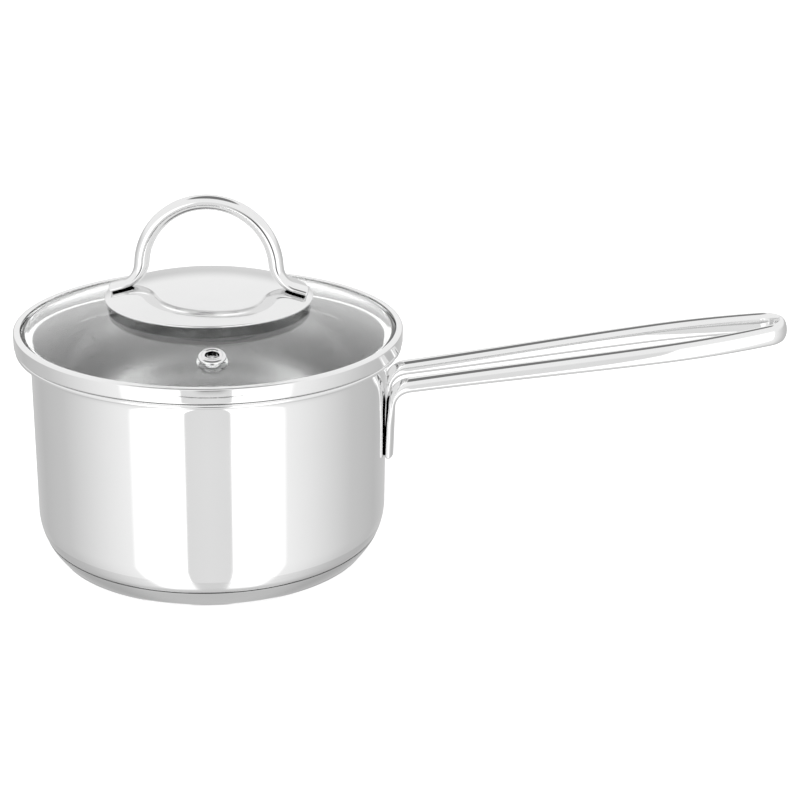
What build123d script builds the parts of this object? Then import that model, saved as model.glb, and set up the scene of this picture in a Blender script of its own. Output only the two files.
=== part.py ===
from build123d import *
import math
import os

os.makedirs("parts", exist_ok=True)

# Saucepan with glass lid. Millimetres. The origin is on the pan's axis at the base's underside,
# +Z is up and the long handle points along +X.

# Pan body: one drawn sheet with a rolled pouring rim
pan_inner_radius = 80.0
pan_wall = 1.0
pan_corner_radius = 28.6         # outer side of the wide arc from the wall to the base
pan_corner_height = 20.6         # where that arc meets the straight wall
pan_floor_underside = 6.6
pan_floor_radius = 7.0           # tight outer arc between the wide arc and the flat floor
rim_height = 99.6                # top of the pouring rim
rim_flare_radius = 5.5           # outer side of the flare
rim_bead_radius = 1.1

# Encapsulated base: aluminium core in a pressed steel cap
cap_wall = 0.7
cap_edge_fillet = 0.9
cap_rim_height = 8.72
cap_rim_land = 0.35              # width of the cap's top edge, the floor of the groove under the body
core_side_gap = 0.25
joint_gap = 0.03

# Long handle: one round rod bent to a long loop, pressed oval at the legs and towards the tip,
# both ends welded to the wall
handle_rod_radius = 3.57
leg_thickness = 4.24             # pressed flat against the wall
loop_height = 10.3               # oval's height at the tip
handle_tilt = 7.6                # degrees above horizontal
handle_reach = 268.4             # pan axis to the loop's outer tip
arm_drop = 20.4                  # from the pouring rim to where leg and arm centre lines would cross
handle_bend_radius = 9.7
leg_length_below = 33.5          # from that crossing down to the leg's cut end
leg_lean = 1.3                   # degrees off the wall, upwards
leg_spacing = 24.3               # centre to centre
leg_twist_length = 8.0           # below the bend, where the leg turns flat to the wall
leg_end_round = 1.2
loop_spacing = 30.1              # centre to centre where the side arcs start
loop_length = 60.0               # from there to the tip's centre line
loop_tip_radius = 9.7
weld_depth = 0.3                 # how far the leg's flat back is let into the wall
arm_stations = 8

# Glass lid: a domed pane in a rolled steel ring
glass_radius = 237.0             # upper face of the dome
glass_thickness = 4.0
glass_edge_rise = 5.513          # from the pouring rim to the dome's edge
glass_foot_width = 4.4           # flat rim under the pane's edge
lid_clearance = 0.3              # between pieces on different bodies
ring_overhang = 7.05             # ring's outer face beyond the pan's wall
ring_wall = 0.9
ring_lip_width = 3.15            # lip over the glass, from the ring's outer face
ring_lip_thickness = 0.75
ring_skirt_gap = 0.6             # between the skirt and the pan's inner wall
ring_skirt_depth = 7.9
ring_corner_radius = 0.85

# Steam vent in the glass
vent_distance = 65.0             # from the lid's axis
vent_bearing = -87.4             # degrees from the long handle
vent_hole_radius = 2.9
vent_tube_wall = 0.85
vent_flange_radius = 6.0
vent_flange_height = 1.75
vent_washer_radius = 6.6
vent_washer_thickness = 0.8
vent_washer_gap = 0.13           # clears the dome's curve under the flat washer
vent_glass_gap = 0.15
vent_clinch_width = 1.3

# Lid knob: a bent rod on a domed plate
knob_turn = -4.6                 # degrees between the arch and the long handle
knob_rod_radius = 3.4
arch_radius = 30.3               # centre line
arch_rise = 5.1                  # arch's centre above the plate's highest point
knob_bend_radius = 12.0          # centre line, between the arch and a foot
knob_foot_reach = 44.8           # lid axis to the rod's cut end
knob_foot_thickness = 3.8        # rod pressed oval where it lies on the plate
knob_foot_round = 1.0
plate_radius = 46.7
plate_dome_radius = 150.0
plate_edge_drop = 1.3            # plate's edge below the glass dome's highest point
plate_thickness = 1.0
knob_weld_depth = 0.25

# Fastening through the glass
screw_radius = 2.5
screw_bore_gap = 0.05
screw_head_radius = 4.9
screw_head_height = 3.0
screw_head_round = 1.3
screw_slot_length = 5.6
screw_slot_width = 1.1
screw_slot_depth = 1.7
boss_radius = 7.0
boss_floor = 1.2                 # metal left above the blind hole
gasket_radius = 8.0
gasket_thickness = 1.7           # pad between the glass and the boss
gasket_sleeve_radius = 4.4
gasket_bore_radius = 2.8
gasket_bead_radius = 9.2
lower_gasket_thickness = 1.6
glass_hole_radius = 4.5
cup_wall = 0.8
cup_rim_gap = 0.15
cup_rim_height = 1.6
spring_washer_radius = 4.5
spring_washer_thickness = 1.2
spring_washer_slot = 0.8

# Worked out once from the sizes above
pan_outer_radius = pan_inner_radius + pan_wall
corner_centre = Vector(pan_outer_radius - pan_corner_radius, pan_corner_height)
ring_outer_radius = pan_outer_radius + ring_overhang
ring_lip_radius = ring_outer_radius - ring_lip_width
glass_edge_radius = ring_outer_radius - ring_wall - lid_clearance
glass_edge_height = rim_height + glass_edge_rise
glass_centre_height = glass_edge_height - math.sqrt(glass_radius ** 2 - glass_edge_radius ** 2)
glass_top = glass_centre_height + glass_radius
plate_sag = plate_dome_radius - math.sqrt(plate_dome_radius ** 2 - plate_radius ** 2)
plate_edge_height = glass_top - plate_edge_drop
plate_top = plate_edge_height + plate_sag
plate_centre_height = plate_top - plate_dome_radius
boss_bottom = glass_top + gasket_thickness
lower_gasket_top = glass_top - glass_thickness
cup_bottom = lower_gasket_top - lower_gasket_thickness - cup_wall
screw_head_top = cup_bottom - spring_washer_thickness


def spin(profile):
    """Turns a closed profile, drawn as (radius, height), once round the Z axis."""
    return revolve(Plane.XZ * profile, Axis.Z)


def arc_point(centre, radius, degrees):
    """The point of a circle at an angle from the first drawing axis."""
    angle = math.radians(degrees)
    return (centre.X + radius * math.cos(angle), centre.Y + radius * math.sin(angle))


def arc_between(centre, radius, start, end):
    """The arc of a circle between two angles in degrees."""
    middle = arc_point(centre, radius, (start + end) / 2)
    return ThreePointArc(arc_point(centre, radius, start), middle, arc_point(centre, radius, end))


def floor_arc_centre():
    """Centre of the tight floor arc, which touches the wide corner arc from inside."""
    height = pan_floor_underside + pan_floor_radius
    reach = pan_corner_radius - pan_floor_radius
    drop = corner_centre.Y - height
    return Vector(corner_centre.X + math.sqrt(reach ** 2 - drop ** 2), height)


def pan_side(offset):
    """One face of the drawn sheet from floor to rim, set in by an offset from the outer face."""
    tight = floor_arc_centre()
    reach = tight - corner_centre
    tangent = math.degrees(math.atan2(reach.Y, reach.X))
    flare = Vector(pan_outer_radius + rim_flare_radius, rim_height - pan_wall - rim_flare_radius)
    floor_point = arc_point(tight, pan_floor_radius - offset, -90)
    flare_start = arc_point(flare, rim_flare_radius + offset, 180)
    return [
        Line((0, floor_point[1]), floor_point),
        arc_between(tight, pan_floor_radius - offset, -90, tangent),
        arc_between(corner_centre, pan_corner_radius - offset, tangent, 0),
        Line(arc_point(corner_centre, pan_corner_radius - offset, 0), flare_start),
        arc_between(flare, rim_flare_radius + offset, 180, 90),
    ]


def make_pan_body():
    outer = pan_side(0)
    inner = pan_side(pan_wall)
    lip = Line(outer[-1] @ 1, inner[-1] @ 1)
    axis_line = Line(outer[0] @ 0, inner[0] @ 0)
    sheet = make_face([*outer, *inner, lip, axis_line])
    bead_place = (pan_outer_radius + rim_flare_radius, rim_height - rim_bead_radius)
    return spin(sheet + Pos(*bead_place) * Circle(rim_bead_radius))


def base_side(offset, low, high):
    """The corner arc carried down past the floor, set in by an offset, between two heights."""
    radius = pan_corner_radius - offset
    start = math.degrees(math.asin((low - corner_centre.Y) / radius))
    end = math.degrees(math.asin((high - corner_centre.Y) / radius))
    return arc_between(corner_centre, radius, start, end)


def cap_rim_inner_radius():
    """Radius where the floor arc stands just above the cap's top edge."""
    tight = floor_arc_centre()
    drop = tight.Y - cap_rim_height - joint_gap
    return tight.X + math.sqrt(pan_floor_radius ** 2 - drop ** 2)


def make_base_cap():
    side = base_side(0, 0, cap_rim_height)
    inside_top = cap_rim_height - cap_wall
    inside = base_side(cap_wall, cap_wall, inside_top)
    rim_inner = min(cap_rim_inner_radius(), (side @ 1).X - cap_rim_land)
    edges = [
        Line((0, 0), side @ 0),
        side,
        Line(side @ 1, (rim_inner, cap_rim_height)),
        Line((rim_inner, cap_rim_height), inside @ 1),
        inside,
        Line(inside @ 0, (0, cap_wall)),
        Line((0, cap_wall), (0, 0)),
    ]
    cap = spin(make_face(edges))
    return fillet(cap.edges().filter_by(GeomType.CIRCLE).group_by(Axis.Z)[0], cap_edge_fillet)


def make_base_core():
    side = base_side(cap_wall + core_side_gap, cap_wall, pan_floor_underside)
    edges = [
        Line((0, cap_wall), side @ 0),
        side,
        Line(side @ 1, (0, pan_floor_underside)),
        Line((0, pan_floor_underside), (0, cap_wall)),
    ]
    return spin(make_face(edges))


def ease(share):
    """Runs smoothly from 0 to 1 with level ends."""
    return share * share * (3 - 2 * share)


def pressed_rod(rod_radius, depth, place, side, heading, inset=0):
    """A rod's section pressed to an oval of the same area, given half its size across the side."""
    return Plane(place, side, heading) * Ellipse(rod_radius ** 2 / depth - inset, depth - inset)


def rounded_end(rod_radius, depth, place, side, heading, end_round):
    """The short end of a pressed rod, drawn in towards its cut face."""
    sections = []
    for share in (0, 0.25, 0.6, 1):
        inset = end_round * (1 - math.sqrt(1 - (1 - share) ** 2))
        spot = place + heading * (end_round * share)
        sections.append(pressed_rod(rod_radius, depth, spot, side, heading, inset))
    return loft(sections, ruled=True)


def join_runs(runs):
    """Lofts each run of sections, from the end of the run before it, into one solid."""
    solid = loft(runs[0])
    for before, run in zip(runs, runs[1:]):
        solid += loft([before[-1], *run])
    return solid


def leg_runs(foot, leg_way, leg_length):
    """A leg's rounded end, then its sections: flat against the wall, then turning square."""
    lean = math.degrees(math.atan2(foot.Y, foot.X))
    tangent = Vector(0, 1, 0).rotate(Axis.Z, lean)
    flat_length = leg_length - leg_twist_length
    thin = leg_thickness / 2
    end = rounded_end(handle_rod_radius, thin, foot, tangent, leg_way, leg_end_round)
    flat = []
    for length in (leg_end_round, flat_length):
        place = foot + leg_way * length
        flat.append(pressed_rod(handle_rod_radius, thin, place, tangent, leg_way))
    turning = []
    for share in (0.25, 0.5, 0.75, 1):
        turned = Vector(0, 1, 0).rotate(Axis.Z, lean * (1 - share))
        place = foot + leg_way * (flat_length + leg_twist_length * share)
        turning.append(pressed_rod(handle_rod_radius, thin, place, turned, leg_way))
    return end, [flat, turning]


def make_half_handle():
    """Half the rod: a leg, the bend, the arm and half the end loop, lofted through its ovals."""
    tilt = math.radians(handle_tilt)
    lean = math.radians(leg_lean)
    across = Vector(0, 1, 0)
    along = Vector(math.cos(tilt), 0, math.sin(tilt))
    upward = Vector(-math.sin(tilt), 0, math.cos(tilt))
    leg_way = Vector(math.sin(lean), 0, math.cos(lean))
    half_legs = leg_spacing / 2
    half_loop = loop_spacing / 2
    leg_distance = pan_outer_radius + leg_thickness / 2 - weld_depth
    leg_x = math.sqrt(leg_distance ** 2 - half_legs ** 2)
    foot = Vector(leg_x, half_legs, rim_height - arm_drop - leg_length_below)
    crossing = leg_length_below / (math.cos(lean) - math.sin(lean) * math.tan(tilt))
    turn = math.pi / 2 - lean - tilt
    leg_length = crossing - handle_bend_radius * math.tan(turn / 2)
    end, runs = leg_runs(foot, leg_way, leg_length)

    bend_start = foot + leg_way * leg_length
    bend_centre = bend_start + Vector(math.cos(lean), 0, -math.sin(lean)) * handle_bend_radius
    bend = []
    for step in range(1, 9):
        angle = lean + turn * step / 8
        place = bend_centre + Vector(-math.cos(angle), 0, math.sin(angle)) * handle_bend_radius
        heading = Vector(math.sin(angle), 0, math.cos(angle))
        depth = leg_thickness / 2 + (handle_rod_radius - leg_thickness / 2) * ease(step / 8)
        bend.append(pressed_rod(handle_rod_radius, depth, place, across, heading))

    # The loop's side arc and tip arc touch where the line through their centres meets both.
    tip_offset = loop_length - loop_tip_radius
    side_radius = tip_offset ** 2 + half_loop ** 2 - loop_tip_radius ** 2
    side_radius = side_radius / (2 * (half_loop - loop_tip_radius))
    side_turn = math.atan2(tip_offset, side_radius - half_loop)
    arm_start = place - across * half_legs
    tip_half_width = 2 * handle_rod_radius ** 2 / loop_height
    arm_length = (handle_reach - tip_half_width - arm_start.X) / math.cos(tilt) - loop_length
    side_length = side_radius * side_turn
    tip_turn = math.pi / 2 - side_turn
    whole_length = arm_length + side_length + loop_tip_radius * tip_turn

    def depth_after(length):
        """Half the oval's height, growing evenly from the bend to the tip."""
        growth = loop_height / 2 - handle_rod_radius
        return handle_rod_radius + growth * length / whole_length

    arm = []
    for step in range(1, arm_stations + 1):
        share = step / arm_stations
        widening = half_loop - half_legs
        place = arm_start + along * (arm_length * share) + across * (half_legs + widening * ease(share))
        heading = along + across * (widening * 6 * share * (1 - share) / arm_length)
        depth = depth_after(arm_length * share)
        arm.append(pressed_rod(handle_rod_radius, depth, place, across, heading))
    loop_start = arm_start + along * arm_length
    arcs = [
        (loop_start + across * (half_loop - side_radius), side_radius, 0, side_turn, 6),
        (loop_start + along * tip_offset, loop_tip_radius, side_turn, tip_turn, 5),
    ]
    runs += [bend, arm]
    gone = arm_length
    for centre, radius, start, sweep_turn, steps in arcs:
        arc = []
        for step in range(1, steps + 1):
            angle = start + sweep_turn * step / steps
            outward = along * math.sin(angle) + across * math.cos(angle)
            heading = along * math.cos(angle) - across * math.sin(angle)
            depth = depth_after(gone + radius * sweep_turn * step / steps)
            place = centre + outward * radius
            arc.append(pressed_rod(handle_rod_radius, depth, place, outward, heading))
        runs.append(arc)
        gone += radius * sweep_turn
    return end + join_runs(runs)


def make_long_handle():
    half = make_half_handle()
    handle = half + mirror(half, Plane.XZ)
    return handle - Pos(0, 0, rim_height / 2) * Cylinder(pan_outer_radius, rim_height)


def sphere_height(radius, distance):
    """Height of a glass face of the given radius at a distance from the lid's axis."""
    return glass_centre_height + math.sqrt(radius ** 2 - distance ** 2)


def dome_arc(centre_height, radius, near, far):
    """An arc of a domed face between two distances from the lid's axis."""
    middle = (near + far) / 2
    points = [(d, centre_height + math.sqrt(radius ** 2 - d ** 2)) for d in (near, middle, far)]
    return ThreePointArc(*points)


def ring_floor():
    """Height of the ring's flat flange, which lies over the pouring rim."""
    return rim_height + lid_clearance


def vent_place():
    """Frame on the glass's upper face at the vent, with +Z along the outward normal."""
    lean = math.degrees(math.asin(vent_distance / glass_radius))
    dome = Pos(0, 0, glass_centre_height) * Rot(0, 0, vent_bearing)
    return dome * Rot(0, lean, 0) * Pos(0, 0, glass_radius)


def make_lid_glass():
    foot_inner = glass_edge_radius - glass_foot_width
    foot_height = ring_floor() + ring_wall + lid_clearance
    top = dome_arc(glass_centre_height, glass_radius, 0, glass_edge_radius)
    under = dome_arc(glass_centre_height, glass_radius - glass_thickness, 0, foot_inner)
    edges = [
        top,
        Line(top @ 1, (glass_edge_radius, foot_height)),
        Line((glass_edge_radius, foot_height), (foot_inner, foot_height)),
        Line((foot_inner, foot_height), under @ 1),
        under,
        Line(under @ 0, top @ 0),
    ]
    pane = spin(make_face(edges))
    rim_edges = pane.edges().filter_by(GeomType.CIRCLE)
    outer_edges = rim_edges.filter_by(lambda edge: edge.radius > glass_edge_radius - 0.1)
    pane = fillet(outer_edges, ring_corner_radius)
    pane -= Pos(0, 0, glass_top) * Cylinder(glass_hole_radius, 4 * glass_thickness)
    return pane - vent_place() * Cylinder(vent_tube_radius() + vent_glass_gap, 4 * glass_thickness)


def make_lid_rim_ring():
    floor = ring_floor()
    skirt_outer = pan_inner_radius - ring_skirt_gap
    lip_under = sphere_height(glass_radius, ring_lip_radius) + lid_clearance
    lip_top = lip_under + ring_lip_thickness
    channel = ring_outer_radius - ring_wall
    shoulder = lip_top - 0.15
    points = [
        (ring_lip_radius, lip_top),
        (ring_outer_radius, shoulder),
        (ring_outer_radius, floor),
        (skirt_outer, floor),
        (skirt_outer, floor - ring_skirt_depth),
        (skirt_outer - ring_wall, floor - ring_skirt_depth),
        (skirt_outer - ring_wall, floor + ring_wall),
        (channel, floor + ring_wall),
        (channel, lip_under),
        (ring_lip_radius, lip_under),
    ]
    section = make_face(Polyline(*points, close=True))
    corners = section.vertices()
    outer = corners.filter_by(lambda corner: corner.X > ring_outer_radius - 0.01)
    section = fillet(outer, ring_corner_radius)
    inner = section.vertices().filter_by(lambda corner: corner.X < skirt_outer - ring_wall + 0.01)
    section = fillet(inner.sort_by(Axis.Y)[-1], ring_wall * 0.9)
    hem = section.vertices().sort_by(Axis.Y)[:2]
    section = fillet(hem, ring_wall * 0.45)
    tongue = section.vertices().filter_by(lambda corner: abs(corner.X - ring_lip_radius) < 0.01)
    section = fillet(tongue, ring_lip_thickness * 0.4)
    return spin(section)


def vent_tube_radius():
    """Outer radius of the eyelet's tube."""
    return vent_hole_radius + vent_tube_wall


def make_vent_eyelet():
    tube = vent_tube_radius()
    washer_bottom = -glass_thickness - vent_washer_gap - vent_washer_thickness
    clinch_bottom = washer_bottom - vent_tube_wall
    crown = (vent_hole_radius + vent_flange_radius) / 2
    edges = [
        Line((vent_hole_radius, clinch_bottom), (vent_hole_radius, vent_flange_height / 2)),
        ThreePointArc(
            (vent_hole_radius, vent_flange_height / 2),
            (vent_hole_radius + 0.4, vent_flange_height - 0.2),
            (crown - 0.25, vent_flange_height),
        ),
        ThreePointArc(
            (crown - 0.25, vent_flange_height),
            (crown, vent_flange_height - 0.3),
            (crown + 0.25, vent_flange_height - 0.1),
        ),
        ThreePointArc(
            (crown + 0.25, vent_flange_height - 0.1),
            (vent_flange_radius - 0.3, vent_flange_height - 0.55),
            (vent_flange_radius, 0.35),
        ),
        Line((vent_flange_radius, 0.35), (vent_flange_radius - 0.3, 0)),
        Line((vent_flange_radius - 0.3, 0), (tube, 0)),
        Line((tube, 0), (tube, washer_bottom)),
        Line((tube, washer_bottom), (tube + vent_clinch_width, washer_bottom)),
        ThreePointArc(
            (tube + vent_clinch_width, washer_bottom),
            (tube + vent_clinch_width * 0.8, clinch_bottom + 0.15),
            (tube, clinch_bottom),
        ),
        Line((tube, clinch_bottom), (vent_hole_radius, clinch_bottom)),
    ]
    return vent_place() * spin(make_face(edges))


def make_vent_washer():
    top = -glass_thickness - vent_washer_gap
    bore = vent_tube_radius() + joint_gap
    ring = Pos(0, 0, top - vent_washer_thickness / 2) * (
        Cylinder(vent_washer_radius, vent_washer_thickness) - Cylinder(bore, vent_washer_thickness)
    )
    ring = fillet(ring.edges().group_by(Axis.Z)[0].sort_by(SortBy.RADIUS)[-1], 0.3)
    return vent_place() * ring


def make_knob_loop():
    """The bent rod: feet lying along the plate's dome, an outward bend and a round arch."""
    arch_centre = Vector(0, plate_top + arch_rise)
    lean = math.asin((knob_foot_reach - knob_rod_radius) / plate_dome_radius)
    out = Vector(math.cos(lean), -math.sin(lean))
    clear = Vector(math.sin(lean), math.cos(lean))
    foot_distance = plate_dome_radius + knob_foot_thickness / 2 - knob_weld_depth
    foot_point = Vector(0, plate_centre_height) + clear * foot_distance
    # The bend touches the foot's line from above and the arch from outside.
    reach = foot_point + clear * knob_bend_radius - arch_centre
    share = reach.dot(out)
    gap = reach.dot(reach) - (arch_radius + knob_bend_radius) ** 2
    bend_centre = reach + arch_centre + out * (math.sqrt(share ** 2 - gap) - share)
    arch_end = math.atan2(bend_centre.Y - arch_centre.Y, bend_centre.X)
    bend_turn = math.pi / 2 - lean - arch_end
    bend_end = bend_centre - clear * knob_bend_radius
    foot_end = bend_end + out * ((knob_foot_reach - bend_end.X) / out.X)
    thin = knob_foot_thickness / 2
    flat = [(foot_end - out * knob_foot_round, -out, thin), (bend_end, -out, thin)]
    bend = []
    for step in range(1, 9):
        angle = math.pi * 1.5 - lean - bend_turn * step / 8
        heading = Vector(math.sin(angle), -math.cos(angle))
        depth = thin + (knob_rod_radius - thin) * ease(step / 8)
        place = bend_centre + Vector(math.cos(angle), math.sin(angle)) * knob_bend_radius
        bend.append((place, heading, depth))
    arch = []
    for step in range(1, 11):
        angle = arch_end + (math.pi / 2 - arch_end) * step / 10
        place = arch_centre + Vector(math.cos(angle), math.sin(angle)) * arch_radius
        arch.append((place, Vector(-math.sin(angle), math.cos(angle)), knob_rod_radius))
    runs = []
    for stations in (flat, bend, arch):
        run = []
        for place, heading, depth in stations:
            spot, way = Vector(place.X, 0, place.Y), Vector(heading.X, 0, heading.Y)
            run.append(pressed_rod(knob_rod_radius, depth, spot, Vector(0, 1, 0), way))
        runs.append(run)
    cut_end = Vector(foot_end.X, 0, foot_end.Y)
    inward = Vector(-out.X, 0, -out.Y)
    across = Vector(0, 1, 0)
    half = rounded_end(knob_rod_radius, thin, cut_end, across, inward, knob_foot_round)
    half += join_runs(runs)
    loop = half + mirror(half, Plane.YZ)
    loop -= Pos(0, 0, plate_centre_height) * Sphere(plate_dome_radius)
    return Rot(0, 0, knob_turn) * loop


def make_knob_plate():
    top = dome_arc(plate_centre_height, plate_dome_radius, 0, plate_radius)
    under_reach = plate_radius - 0.2
    under = dome_arc(plate_centre_height, plate_dome_radius - plate_thickness, 0, under_reach)
    edge = ThreePointArc(
        top @ 1,
        (plate_radius + plate_thickness * 0.35, plate_edge_height - plate_thickness * 0.55),
        under @ 1,
    )
    return spin(make_face([top, edge, under, Line(under @ 0, top @ 0)]))


def make_knob_boss():
    height = plate_top - boss_bottom
    boss = Pos(0, 0, boss_bottom + height / 2) * Cylinder(boss_radius, height)
    boss = fillet(boss.edges().filter_by(GeomType.CIRCLE).group_by(Axis.Z)[0], 0.5)
    boss &= Pos(0, 0, plate_centre_height) * Sphere(plate_dome_radius - plate_thickness)
    depth = plate_top - plate_thickness - boss_floor - boss_bottom
    bore = Cylinder(screw_radius + screw_bore_gap, 2 * depth)
    return boss - Pos(0, 0, boss_bottom) * bore


def make_upper_gasket():
    sleeve_bottom = lower_gasket_top - lower_gasket_thickness / 2
    profile = make_face(
        Polyline(
            (gasket_bore_radius, sleeve_bottom),
            (gasket_sleeve_radius, sleeve_bottom),
            (gasket_sleeve_radius, glass_top - 1),
            (gasket_bead_radius, glass_top - 1),
            (gasket_bead_radius, glass_top + gasket_thickness / 2),
            (gasket_radius, boss_bottom),
            (gasket_bore_radius, boss_bottom),
            close=True,
        )
    )
    pad = spin(profile)
    below = Pos(0, 0, glass_centre_height) * Sphere(glass_radius)
    sleeve = Pos(0, 0, glass_top) * Cylinder(gasket_sleeve_radius, 4 * glass_thickness)
    return pad - (below - sleeve)


def make_lower_gasket():
    bore = gasket_sleeve_radius + joint_gap
    bottom = lower_gasket_top - lower_gasket_thickness
    ring = Cylinder(gasket_radius, lower_gasket_thickness) - Cylinder(bore, lower_gasket_thickness)
    ring = Pos(0, 0, bottom + lower_gasket_thickness / 2) * ring
    return ring & Pos(0, 0, glass_centre_height) * Sphere(glass_radius - glass_thickness)


def make_cup_washer():
    bore = screw_radius + 3 * screw_bore_gap
    floor_top = cup_bottom + cup_wall
    inside = gasket_radius + cup_rim_gap
    profile = make_face(
        Polyline(
            (bore, cup_bottom),
            (inside + cup_wall, cup_bottom),
            (inside + cup_wall, cup_bottom + cup_rim_height),
            (inside, cup_bottom + cup_rim_height),
            (inside, floor_top),
            (bore, floor_top),
            close=True,
        )
    )
    outer = profile.vertices().filter_by(lambda corner: corner.X > inside + cup_wall - 0.01)
    return spin(fillet(outer.sort_by(Axis.Y)[0], cup_wall * 0.8))


def make_spring_washer():
    bore = screw_radius + 3 * screw_bore_gap
    centre = cup_bottom - spring_washer_thickness / 2
    ring = Cylinder(spring_washer_radius, spring_washer_thickness)
    ring -= Cylinder(bore, spring_washer_thickness)
    slot = Pos(spring_washer_radius, 0, 0) * Rot(25, 0, 0)
    slot = slot * Box(2 * spring_washer_radius - bore, spring_washer_slot, 3 * spring_washer_thickness)
    return Pos(0, 0, centre) * (ring - slot)


def make_lid_screw():
    head = Pos(0, 0, screw_head_top - screw_head_height / 2)
    head = head * Cylinder(screw_head_radius, screw_head_height)
    head = fillet(head.edges().filter_by(GeomType.CIRCLE).group_by(Axis.Z)[0], screw_head_round)
    slot = Pos(0, 0, screw_head_top - screw_head_height)
    for angle in (0, 90):
        head -= slot * Rot(0, 0, angle) * Box(screw_slot_length, screw_slot_width, 2 * screw_slot_depth)
    shank_top = plate_top - plate_thickness - 2 * boss_floor
    shank_length = shank_top - screw_head_top
    shank = Pos(0, 0, screw_head_top + shank_length / 2) * Cylinder(screw_radius, shank_length)
    shank = chamfer(shank.edges().filter_by(GeomType.CIRCLE).group_by(Axis.Z)[-1], screw_radius / 5)
    return head + shank


pieces = {
    "pot_body": make_pan_body,
    "base_core": make_base_core,
    "base_cap": make_base_cap,
    "long_handle": make_long_handle,
    "lid_glass": make_lid_glass,
    "lid_rim_ring": make_lid_rim_ring,
    "vent_eyelet": make_vent_eyelet,
    "vent_washer": make_vent_washer,
    "knob_loop": make_knob_loop,
    "knob_plate": make_knob_plate,
    "knob_boss": make_knob_boss,
    "upper_gasket": make_upper_gasket,
    "lower_gasket": make_lower_gasket,
    "cup_washer": make_cup_washer,
    "spring_washer": make_spring_washer,
    "lid_screw": make_lid_screw,
}

for name, make in pieces.items():
    piece = make()
    export_step(piece, os.path.join("parts", name + ".step"))
    print(name, "solids", len(piece.solids()), "volume", round(piece.volume, 1))
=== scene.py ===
import math

import bpy
import numpy as np
from mathutils import Matrix, Vector


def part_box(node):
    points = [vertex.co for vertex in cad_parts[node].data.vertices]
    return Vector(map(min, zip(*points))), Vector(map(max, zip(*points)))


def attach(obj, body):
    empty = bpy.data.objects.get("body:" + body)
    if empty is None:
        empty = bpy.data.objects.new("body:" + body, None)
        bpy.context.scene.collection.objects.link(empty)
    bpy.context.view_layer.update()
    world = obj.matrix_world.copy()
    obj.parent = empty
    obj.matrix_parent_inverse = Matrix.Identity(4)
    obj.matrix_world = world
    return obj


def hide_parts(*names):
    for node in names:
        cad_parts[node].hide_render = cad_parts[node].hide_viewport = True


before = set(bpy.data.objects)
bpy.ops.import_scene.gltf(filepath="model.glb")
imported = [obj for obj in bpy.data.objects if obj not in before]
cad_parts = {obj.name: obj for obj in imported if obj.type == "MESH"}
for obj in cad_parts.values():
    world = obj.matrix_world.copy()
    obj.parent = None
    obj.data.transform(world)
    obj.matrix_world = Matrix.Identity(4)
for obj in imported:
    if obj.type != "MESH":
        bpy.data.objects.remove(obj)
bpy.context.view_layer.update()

# Saucepan with glass lid. The camera comes first, then the outer pieces, turned or swept as
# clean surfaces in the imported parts' places, then finishes, floor and light.
# Section sizes below are millimetres, because sheet and rod stock is sized so; meshes are metres.
MM = 0.001

# Pan body and base
wall = 1.0
corner_radius = 28.6             # wide arc from the wall to the base
corner_height = 20.6
floor_radius = 7.0               # tight arc from the wide arc to the floor
floor_underside = 6.6
flare_radius = 5.5
rim_bead_radius = 1.1
cap_wall = 0.7
cap_edge_round = 0.9
base_groove_radii = (58.0, 46.0, 34.0)
base_groove_width = 1.4
base_groove_depth = 0.25

# Long handle rod
handle_rod_radius = 3.57
leg_thickness = 4.24             # the legs are pressed flat against the wall
loop_height = 10.3               # the rod is pressed taller towards the tip
handle_tilt = math.radians(7.6)
bend_radius = 9.7
leg_length_below = 33.5          # from where leg and arm lines would cross, down to the cut end
leg_lean = math.radians(1.3)
leg_spacing = 24.3
leg_twist_length = 8.0           # below the bend, where the leg turns flat to the wall
leg_end_round = 1.2
loop_spacing = 30.1
loop_length = 60.0               # from the side arcs' start to the tip
loop_tip_radius = 9.7
weld_depth = 0.3

# Lid
glass_dome_radius = 237.0
glass_thickness = 4.0
glass_foot_width = 4.4
glass_hole_radius = 4.5
ring_wall = 0.9
ring_lip_reach = 3.15            # lip's width over the glass, from the ring's outer face
ring_lip_thickness = 0.75
ring_round = 0.85
skirt_inset = 8.65               # from the ring's outer face to the skirt's
lid_gap = 0.3
vent_distance = 65.0
vent_hole_radius = 2.9
vent_tube_wall = 0.85
vent_flange_radius = 6.0
vent_washer_gap = 0.13
vent_washer_thickness = 0.8
plate_dome_radius = 150.0
plate_thickness = 1.0
knob_turn = math.radians(-4.6)
knob_rod_radius = 3.4
arch_radius = 30.3
arch_rise = 5.1
knob_bend_radius = 12.0
knob_foot_reach = 44.8
knob_foot_thickness = 3.8
knob_foot_round = 1.0
knob_weld_depth = 0.25

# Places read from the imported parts
pan_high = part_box("pot_body")[1] / MM
ring_low, ring_high = [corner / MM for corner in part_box("lid_rim_ring")]
cap_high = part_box("base_cap")[1] / MM
glass_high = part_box("lid_glass")[1] / MM
plate_low, plate_high = [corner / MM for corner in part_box("knob_plate")]
plate_top = plate_high.z
handle_low, handle_high = [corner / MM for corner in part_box("long_handle")]
vent_low, vent_high = [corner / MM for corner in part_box("vent_washer")]
rim_top = pan_high.z
pan_radius = pan_high.x - rim_bead_radius - flare_radius
turns = 288                      # steps round a turned piece
rod_crease = 60                  # degrees; anything sharper on a rod stays an edge


# ---------------------------------------------------------------- camera
camera_lens = 76.2
camera_sensor = 36.0


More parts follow.
